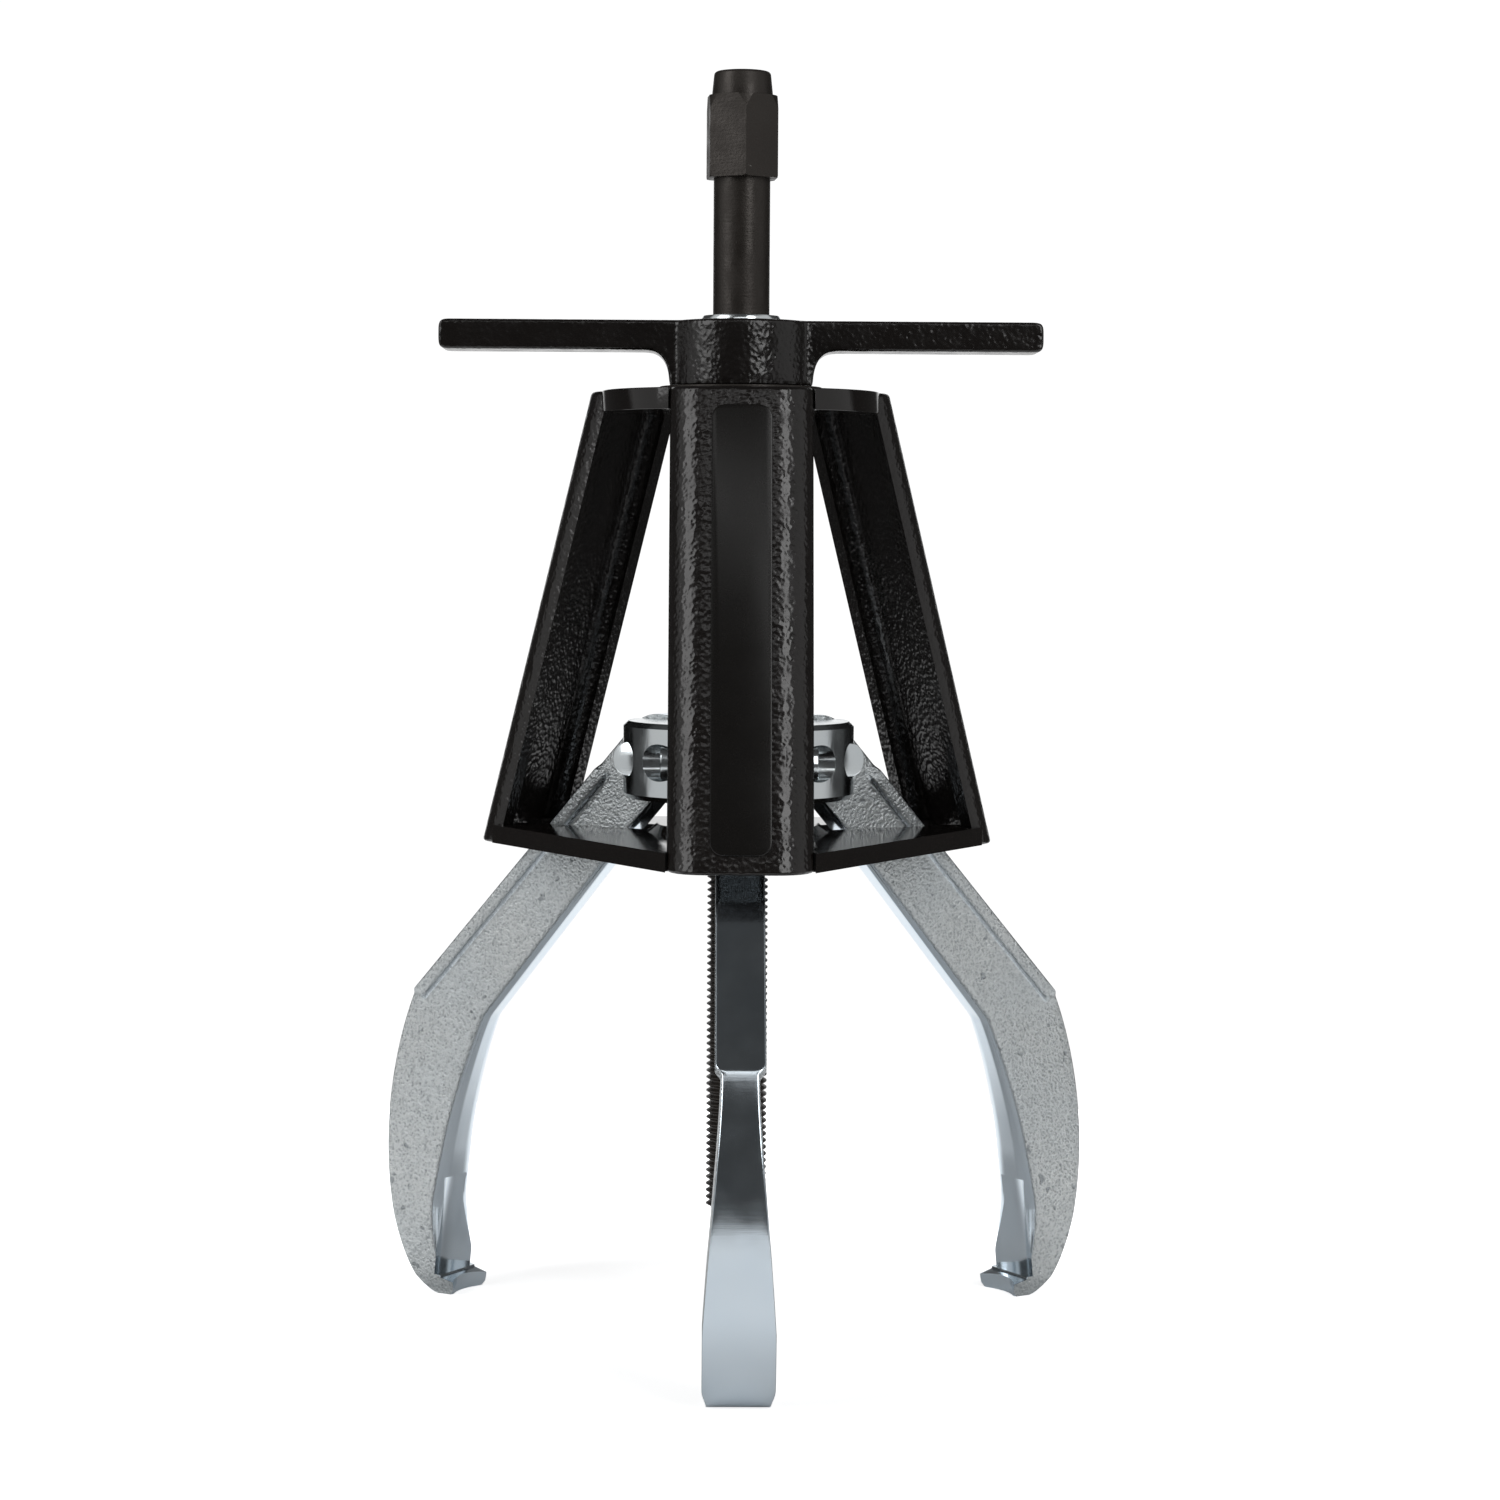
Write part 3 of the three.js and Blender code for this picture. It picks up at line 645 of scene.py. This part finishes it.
def jaws(material):
    """The three jaws, alike but for their azimuth"""
    shape = jaw_mesh()
    for index in range(ARMS):
        made = bpy.data.objects.new(f"jaw_body_{index + 1}", shape.data.copy())
        bpy.context.collection.objects.link(made)
        place(made, material, f"jaw_{index + 1}", "cast_zinc", f"jaw_{index + 1}", index=index)
    bpy.data.objects.remove(shape)


# ---- Cage --------------------------------------------------------------------------------

def arc(centre, radius, start, end, steps):
    """Points of a circular arc, between two angles in degrees"""
    turns = [math.radians(mix(start, end, i / steps)) for i in range(steps + 1)]
    return [(centre[0] + radius * math.cos(t), centre[1] + radius * math.sin(t)) for t in turns]


def hard_edges(bm):
    return [edge for edge in bm.edges if edge.calc_face_angle() > math.radians(40)]


def cage_leg(index):
    """A pressed channel, leaning in towards the top"""
    flat = LEG_WIDTH / 2 - LEG_CORNER
    middle = LEG_BOTTOM_RADIUS - LEG_CORNER
    inside = LEG_CORNER - LEG_THICKNESS
    section = arc((middle, -flat), LEG_CORNER, -90, 0, 10) + arc((middle, flat), LEG_CORNER, 0, 90, 10)
    section += arc((middle, flat), inside, 90, 0, 8) + arc((middle, -flat), inside, 0, -90, 8)
    bm = bmesh.new()
    loops = []
    for height in (CAGE_BOTTOM, CAGE_TOP):
        shift = -LEG_LEAN * (height - CAGE_BOTTOM)
        loops.append([bm.verts.new((x + shift, y, height)) for x, y in section])
    stack(bm, loops)
    bm.faces.new(loops[0][::-1])
    bm.faces.new(loops[1])
    bm.edges.ensure_lookup_table()
    walls = [edge for edge in hard_edges(bm) if edge.verts[0].co.z != edge.verts[1].co.z]
    bmesh.ops.bevel(bm, geom=walls, offset=1.1, segments=4, profile=0.5, affect="EDGES")
    ends = [edge for edge in hard_edges(bm) if abs(edge.verts[0].co.z - edge.verts[1].co.z) < 0.01]
    bmesh.ops.bevel(bm, geom=ends, offset=0.9, segments=3, profile=0.5, affect="EDGES")
    made = finish_mesh(bm, f"cage_leg_body_{index + 1}", 45)
    keep_flats_flat(made)
    return made


def label_film():
    """A thin film on the leg's outer face, with rounded corners and a soft edge"""
    x, y, r = LABEL_LENGTH / 2, LABEL_WIDTH / 2, LABEL_CORNER
    outline = arc((x - r, r - y), r, -90, 0, 8) + arc((x - r, y - r), r, 0, 90, 8)
    outline += arc((r - x, y - r), r, 90, 180, 8) + arc((r - x, r - y), r, 180, 270, 8)
    layers = [(0.0, 0.0), (0.0, LABEL_THICKNESS - 0.2), (0.12, LABEL_THICKNESS - 0.05),
              (0.3, LABEL_THICKNESS)]
    bm = bmesh.new()
    loops = []
    for inset, height in layers:
        scale_x, scale_y = 1 - inset / x, 1 - inset / y
        loops.append([bm.verts.new((px * scale_x, py * scale_y, height)) for px, py in outline])
    stack(bm, loops)
    bm.faces.new(loops[0][::-1])
    bm.faces.new(loops[-1])
    middle = ((LEG_BOTTOM_RADIUS + LEG_TOP_RADIUS) / 2, 0, (CAGE_BOTTOM + CAGE_TOP) / 2)
    turn = Matrix.Rotation(math.pi / 2 - math.atan(LEG_LEAN), 4, "Y")
    bmesh.ops.transform(bm, matrix=Matrix.Translation(middle) @ turn, verts=bm.verts)
    return finish_mesh(bm, "cage_label_film", 30)


# ---- T-handle ------------------------------------------------------------------------------

def handle_casting():
    """The handle's soft cast edges, from a fine remesh of its solid smoothed above the journal"""
    made = copy_of("t_handle", "t_handle_casting")
    remesh = made.modifiers.new("remesh", "REMESH")
    remesh.mode = "VOXEL"
    remesh.voxel_size = 0.5 * MM
    bake_modifiers(made)
    cast = made.vertex_groups.new(name="cast")
    for vertex in made.data.vertices:
        outside = math.hypot(vertex.co.x, vertex.co.y) > HUB_BORE_ZONE * MM
        if vertex.co.z > JOURNAL_TOP * MM:
            cast.add([vertex.index], 1.0 if outside else 0.3, "REPLACE")
    soften = made.modifiers.new("soften", "SMOOTH")
    soften.vertex_group = "cast"
    soften.factor = 0.5
    soften.iterations = 14
    bake_modifiers(made)
    made.vertex_groups.clear()
    shade(made, 60)
    return made


# ---- Materials -----------------------------------------------------------------------------

class Finish:
    """A material and short calls for the nodes that it is made of"""

    def __init__(self, name, roughness=0.5, metallic=0.0, **sockets):
        self.material = bpy.data.materials.new(name)
        self.material.use_nodes = True
        self.tree = self.material.node_tree
        self.shader = self.tree.nodes["Principled BSDF"]
        self.shader.inputs["Roughness"].default_value = roughness
        self.shader.inputs["Metallic"].default_value = metallic
        for socket, value in sockets.items():
            self.shader.inputs[socket.replace("_", " ")].default_value = value
        coordinates = self.tree.nodes.new("ShaderNodeTexCoord")
        self.coordinates = coordinates.outputs["Object"]
        self.normal = coordinates.outputs["Normal"]

    def node(self, kind, links=(), **settings):
        """A node with its settings, each input linked to an output or set to a value"""
        made = self.tree.nodes.new(kind)
        for key, value in settings.items():
            setattr(made, key, value)
        for socket, source in dict(links).items():
            if hasattr(source, "is_output"):
                self.tree.links.new(source, made.inputs[socket])
            else:
                made.inputs[socket].default_value = source
        return made

    def stretched(self, x, y, z):
        """The coordinates, scaled along each axis"""
        links = {"Vector": self.coordinates, "Scale": (x, y, z)}
        return self.node("ShaderNodeMapping", links).outputs["Vector"]

    def warped(self, scale, reach):
        """The coordinates, pushed about by noise"""
        links = {"Vector": self.coordinates, "Scale": scale, "Detail": 1.0}
        push = self.node("ShaderNodeTexNoise", links).outputs["Color"]
        links = {0: push, 1: (reach, reach, reach)}
        push = self.node("ShaderNodeVectorMath", links, operation="MULTIPLY").outputs[0]
        moved = self.node("ShaderNodeVectorMath", {0: self.coordinates, 1: push}, operation="ADD")
        return moved.outputs[0]

    def noise(self, scale, detail=2.0, roughness=0.5, vector=None):
        links = {"Vector": vector or self.coordinates, "Scale": scale, "Detail": detail,
                 "Roughness": roughness}
        return self.node("ShaderNodeTexNoise", links).outputs["Fac"]

    def cells(self, scale, vector=None):
        links = {"Vector": vector or self.coordinates, "Scale": scale, "Smoothness": 0.6}
        return self.node("ShaderNodeTexVoronoi", links, feature="SMOOTH_F1").outputs["Distance"]

    def remap(self, value, low, high, to_low=0.0, to_high=1.0):
        """A smooth change from one value to another as the input goes from low to high"""
        links = {"Value": value, "From Min": low, "From Max": high, "To Min": to_low, "To Max": to_high}
        return self.node("ShaderNodeMapRange", links, interpolation_type="SMOOTHSTEP").outputs["Result"]

    def math(self, operation, a, b=0.0):
        return self.node("ShaderNodeMath", {0: a, 1: b}, operation=operation).outputs[0]

    def blend(self, factor, a, b):
        """A colour between two colours"""
        made = self.node("ShaderNodeMix", {0: factor}, data_type="RGBA")
        for socket, value in ((6, a), (7, b)):
            if hasattr(value, "is_output"):
                self.tree.links.new(value, made.inputs[socket])
            else:
                made.inputs[socket].default_value = (*value, 1)
        return made.outputs[2]

    def bump(self, height, distance, below=None):
        """A relief with its depth in millimetres, over another relief"""
        links = {"Height": height, "Distance": distance * MM, "Strength": 1.0}
        if below is not None:
            links["Normal"] = below
        return self.node("ShaderNodeBump", links).outputs["Normal"]

    def connect(self, **outputs):
        """Links outputs to the shader's sockets, and gives the finished material"""
        for socket, output in outputs.items():
            self.tree.links.new(output, self.shader.inputs[socket.replace("_", " ")])
        return self.material


def black_paint(name, relief, roughness):
    """Powder coat with an orange-peel skin: smooth and wet-looking on plate, rougher on castings"""
    paint = Finish(name, Specular_IOR_Level=0.5)
    peel = paint.cells(900, paint.warped(500, 0.0008))
    cast = paint.noise(430, 2.0, 0.5)
    skin = paint.bump(peel, 0.13 * relief, paint.bump(cast, 0.12 * relief))
    color = paint.blend(paint.noise(90, 3), (0.0068, 0.0054, 0.0048), (0.0102, 0.0084, 0.0075))
    gloss = paint.remap(paint.noise(160, 3), 0.3, 0.7, 0.8 * roughness, 1.2 * roughness)
    return paint.connect(Base_Color=color, Normal=skin, Roughness=gloss)


def black_oxide():
    """Oiled black oxide over machined steel, rubbed paler in specks"""
    oxide = Finish("black_oxide", metallic=0.5, Specular_IOR_Level=0.5)
    brown = oxide.blend(oxide.noise(55, 4), (0.022, 0.0175, 0.0145), (0.044, 0.038, 0.033))
    specks = oxide.remap(oxide.noise(750, 4, 0.7), 0.66, 0.74)
    rubbed = oxide.math("MULTIPLY", specks, oxide.remap(oxide.noise(120, 2), 0.5, 0.62))
    color = oxide.blend(rubbed, brown, (0.24, 0.23, 0.215))
    turning = oxide.noise(900, 2, 0.5, oxide.stretched(0.25, 0.25, 2.4))
    skin = oxide.bump(oxide.noise(1500, 3), 0.05, oxide.bump(turning, 0.03))
    gloss = oxide.remap(oxide.noise(210, 4), 0.3, 0.7, 0.34, 0.52)
    return oxide.connect(Base_Color=color, Normal=skin, Roughness=gloss)


def bright_zinc():
    """Clear zinc plate over machined steel"""
    zinc = Finish("bright_zinc", metallic=1.0)
    color = zinc.blend(zinc.noise(70, 3), (0.66, 0.72, 0.76), (0.80, 0.83, 0.83))
    lines = zinc.noise(600, 2, 0.5, zinc.stretched(0.2, 0.2, 3.5))
    skin = zinc.bump(lines, 0.012, zinc.bump(zinc.noise(260, 2), 0.015))
    gloss = zinc.remap(zinc.noise(180, 4), 0.3, 0.7, 0.13, 0.24)
    return zinc.connect(Base_Color=color, Normal=skin, Roughness=gloss)


def cast_zinc():
    """Zinc plate over a forging: pebbled on the sides, with painted shade in the pebbles' hollows,
    belt-ground along the edges
    """
    zinc = Finish("cast_zinc", metallic=1.0)
    facing = zinc.node("ShaderNodeSeparateXYZ", {0: zinc.normal}).outputs["Y"]
    side = zinc.remap(zinc.math("ABSOLUTE", facing), 0.62, 0.9)
    pebbles = zinc.noise(1700, 3, 0.6)
    worms = zinc.cells(1300, zinc.warped(600, 0.0006))
    pits = zinc.remap(zinc.noise(330, 2), 0.33, 0.24)
    cast = zinc.math("ADD", zinc.math("MULTIPLY", pebbles, 0.8), zinc.math("MULTIPLY", worms, 0.5))
    cast = zinc.math("SUBTRACT", cast, zinc.math("MULTIPLY", pits, 0.5))
    grinding = zinc.noise(300, 3, 0.6, zinc.stretched(1.6, 0.12, 4.0))
    relief = zinc.math("MULTIPLY", zinc.math("MULTIPLY", cast, side), 0.42)
    height = zinc.math("ADD", relief, zinc.math("MULTIPLY", grinding, 0.008))
    tone_and_hollow_shade = zinc.blend(zinc.noise(35, 3), (0.52, 0.56, 0.58), (0.61, 0.625, 0.62))
    # Painted shade: the colour turns darker where the cast relief is low, in the hollows of the
    # pebbles, over the zinc's own uneven tone
    tone_and_hollow_shade = zinc.blend(zinc.remap(cast, 0.3, 0.75), (0.34, 0.365, 0.38), tone_and_hollow_shade)
    ground = zinc.blend(zinc.noise(60, 3), (0.62, 0.71, 0.79), (0.76, 0.825, 0.87))
    color = zinc.blend(side, ground, tone_and_hollow_shade)
    gloss = zinc.remap(zinc.noise(150, 4), 0.3, 0.7, 0.12, 0.19)
    gloss = zinc.math("ADD", zinc.math("MULTIPLY", side, 0.22), gloss)
    return zinc.connect(Base_Color=color, Roughness=gloss, Normal=zinc.bump(height, 1.0))


def label_plastic():
    """Plain black film"""
    film = Finish("label_film", Specular_IOR_Level=0.3)
    color = film.blend(film.noise(300, 4), (0.0075, 0.0068, 0.0062), (0.010, 0.0092, 0.0085))
    gloss = film.remap(film.noise(60, 2), 0.3, 0.7, 0.19, 0.23)
    return film.connect(Base_Color=color, Normal=film.bump(film.noise(45, 1), 0.06), Roughness=gloss)


def floor_paper():
    """Pale paper with a painted glow: it emits light, weak near the tool and rising away from it to the
    white of the surroundings. The camera sees more glow than reflections do, and reflections see half
    the glow in front of the tool.
    """
    paper = Finish("floor_paper", roughness=0.9, Specular_IOR_Level=0.1)
    length = paper.node("ShaderNodeVectorMath", {0: paper.coordinates}, operation="LENGTH")
    distance = length.outputs["Value"]
    depth = paper.node("ShaderNodeSeparateXYZ", {0: paper.coordinates}).outputs["Y"]
    color = paper.blend(paper.noise(3, 2), (0.70, 0.71, 0.72), (0.72, 0.73, 0.74))
    # Painted light: a glow that only the camera sees, lifting the floor to white
    direct = paper.tree.nodes.new("ShaderNodeLightPath").outputs["Is Camera Ray"]
    glow = paper.math("MULTIPLY", paper.remap(distance, 0.08, 0.3, 0.72, 0.95), direct)
    paper.shader.inputs["Emission Color"].default_value = (1, 1, 1, 1)
    # Painted light: a glow that every ray sees, weak near the tool, rising away from it, and half as
    # strong in front of it
    glow_for_all_rays = paper.math("MULTIPLY", paper.remap(distance, 0.075, 0.13, 0.06, FLOOR_GLOW),
                        paper.remap(depth, -0.09, 0.03, 0.5, 1.0))
    return paper.connect(Base_Color=color, Emission_Strength=paper.math("ADD", glow, glow_for_all_rays))


# ---- Assembly --------------------------------------------------------------------------------

def assemble_screw(oxide, bright):
    """The forcing screw, and the live centre point with its ball"""
    place(screw_rod(), oxide, "forcing_screw", "black_oxide", "forcing_screw")
    place(screw_hex(), oxide, "forcing_screw", "black_oxide", "forcing_screw")
    place(screw_pilot(), oxide, "forcing_screw", "black_oxide", "forcing_screw")
    tip = refined("centre_point", "centre_point_tip", 0.3)
    place(tip, oxide, "centre_point", "black_oxide", "centre_point")
    ball = refined("thrust_ball", "thrust_ball_polished", 0.02, 1, 60)
    place(ball, bright, "centre_point", "bright_zinc", "thrust_ball")


def assemble_arm(index, paint, oxide, bright):
    """A jaw's bolt with its lock screw, and the cage leg outside it"""
    number = index + 1
    place(bolt(index), bright, "jaw_head", "bright_zinc", f"jaw_bolt_{number}", index=index)
    node = f"jaw_bolt_lock_screw_{number}"
    lock = refined(node, f"lock_screw_body_{number}", 0.2)
    place(lock, oxide, "jaw_head", "black_oxide", node)
    place(cage_leg(index), paint, "cage", "black_paint", f"cage_leg_{number}", index=index)


def assemble_plates(oxide):
    """The cage's two plates, its label, and the washer that the T-handle bears on"""
    plate_paint = black_paint("black_paint_plate", 0.06, 0.09)
    for node, name in (("cage_top_plate", "cage_top_disc"), ("cage_base_plate", "cage_base_disc")):
        place(refined(node, name, 0.5, 3), plate_paint, "cage", "black_paint", node)
    place(label_film(), label_plastic(), "cage", "label_film", "cage_label", index=0)
    washer = refined("handle_thrust_washer", "thrust_washer_flat", 0.15)
    place(washer, oxide, "cage", "black_oxide", "handle_thrust_washer")


def assemble_handle(paint, oxide):
    """The T-handle, and the ring that holds it in the top plate"""
    place(handle_casting(), paint, "t_handle", "black_paint", "t_handle")
    snap_ring = refined("handle_retaining_ring", "retaining_ring_spring", 0.2)
    place(snap_ring, oxide, "t_handle", "black_oxide", "handle_retaining_ring")


def assemble():
    paint = black_paint("black_paint", 1.0, 0.22)
    oxide, bright = black_oxide(), bright_zinc()
    assemble_screw(oxide, bright)
    place(head_drum(), bright, "jaw_head", "bright_zinc", "jaw_head")
    place(head_sleeve(), bright, "jaw_head", "bright_zinc", "jaw_head")
    for index in range(ARMS):
        assemble_arm(index, paint, oxide, bright)
    jaws(cast_zinc())
    assemble_plates(oxide)
    assemble_handle(paint, oxide)


# ---- Studio ------------------------------------------------------------------------------------

def studio_floor():
    """A round sheet of paper that the jaws stand on"""
    bm = bmesh.new()
    loops = [ring(bm, radius, JAW_FOOT, 96) for radius in FLOOR_RADII]
    stack(bm, loops)
    bm.faces.new(loops[0])
    made = finish_mesh(bm, "studio_floor")
    for face in made.data.polygons:
        if face.normal.z < 0:
            face.flip()
    made.data.materials.append(floor_paper())


def softbox(name, position, size, energy):
    """A rectangular lamp turned to the middle of the tool"""
    light = bpy.data.lights.new(name, "AREA")
    light.shape = "RECTANGLE"
    light.size, light.size_y = size
    light.energy = energy
    made = bpy.data.objects.new(name, light)
    made.location = position
    made.rotation_euler = (Vector(LIGHT_AIM) - Vector(position)).to_track_quat("-Z", "Y").to_euler()
    made.visible_camera = False
    bpy.context.collection.objects.link(made)


def surroundings():
    """White to the eye. Reflections see a white wall behind the tool, pale panels at its sides and
    a dim room."""
    world = bpy.data.worlds.new("studio")
    world.use_nodes = True
    tree = world.node_tree
    background = tree.nodes["Background"]
    background.inputs["Color"].default_value = (1, 1, 1, 1)
    split = tree.nodes.new("ShaderNodeSeparateXYZ")
    tree.links.new(tree.nodes.new("ShaderNodeTexCoord").outputs["Generated"], split.inputs[0])

    def share(value, low, high, to_high):
        made = tree.nodes.new("ShaderNodeMapRange")
        made.interpolation_type = "SMOOTHSTEP"
        for socket, number in (("From Min", low), ("From Max", high), ("To Max", to_high)):
            made.inputs[socket].default_value = number
        tree.links.new(value, made.inputs["Value"])
        return made.outputs["Result"]

    def calculate(operation, first, second):
        made = tree.nodes.new("ShaderNodeMath")
        made.operation = operation
        for socket, value in enumerate((first, second)):
            if hasattr(value, "is_output"):
                tree.links.new(value, made.inputs[socket])
            else:
                made.inputs[socket].default_value = value
        return made.outputs[0]

    depth, height = split.outputs["Y"], split.outputs["Z"]
    wall = share(depth, 0.88, 0.97, WALL_LIGHT)
    panels = calculate("MULTIPLY", share(depth, -0.62, -0.5, PANEL_LIGHT),
                       share(depth, 0.3, 0.16, 1.0))
    low = share(height, 0.85, 0.6, 1.0)
    lit = calculate("MULTIPLY", calculate("ADD", wall, panels), low)
    seen = calculate("ADD", lit, ROOM_LIGHT)
    direct = tree.nodes.new("ShaderNodeLightPath").outputs["Is Camera Ray"]
    tree.links.new(calculate("MAXIMUM", seen, direct), background.inputs["Strength"])
    bpy.context.scene.world = world


def camera():
    """A long lens, square to the front leg and looking slightly down at the tool"""
    lens = bpy.data.cameras.new("camera")
    lens.sensor_width = 36
    lens.lens = CAMERA_LENS
    lens.clip_start, lens.clip_end = 0.05, 50
    made = bpy.data.objects.new("camera", lens)
    heading = Matrix.Rotation(-math.radians(CAMERA_HEADING), 4, "Z")
    pitch = Matrix.Rotation(math.pi / 2 - math.radians(CAMERA_PITCH), 4, "X")
    roll = Matrix.Rotation(math.radians(CAMERA_ROLL), 4, "Z")
    made.matrix_world = Matrix.Translation(CAMERA_PLACE) @ heading @ pitch @ roll
    bpy.context.collection.objects.link(made)
    bpy.context.scene.camera = made


def studio():
    studio_floor()
    softbox("light_left", (-0.98, -0.58, 0.72), (0.62, 1.0), 5.0)
    softbox("light_right", (0.62, -1.00, 0.72), (0.42, 1.0), 5.6)
    softbox("light_front", (0, -1.07, 0.94), (0.9, 0.18), 0.65)
    surroundings()
    bpy.context.scene.view_settings.view_transform = "Standard"
    camera()


assemble()
studio()
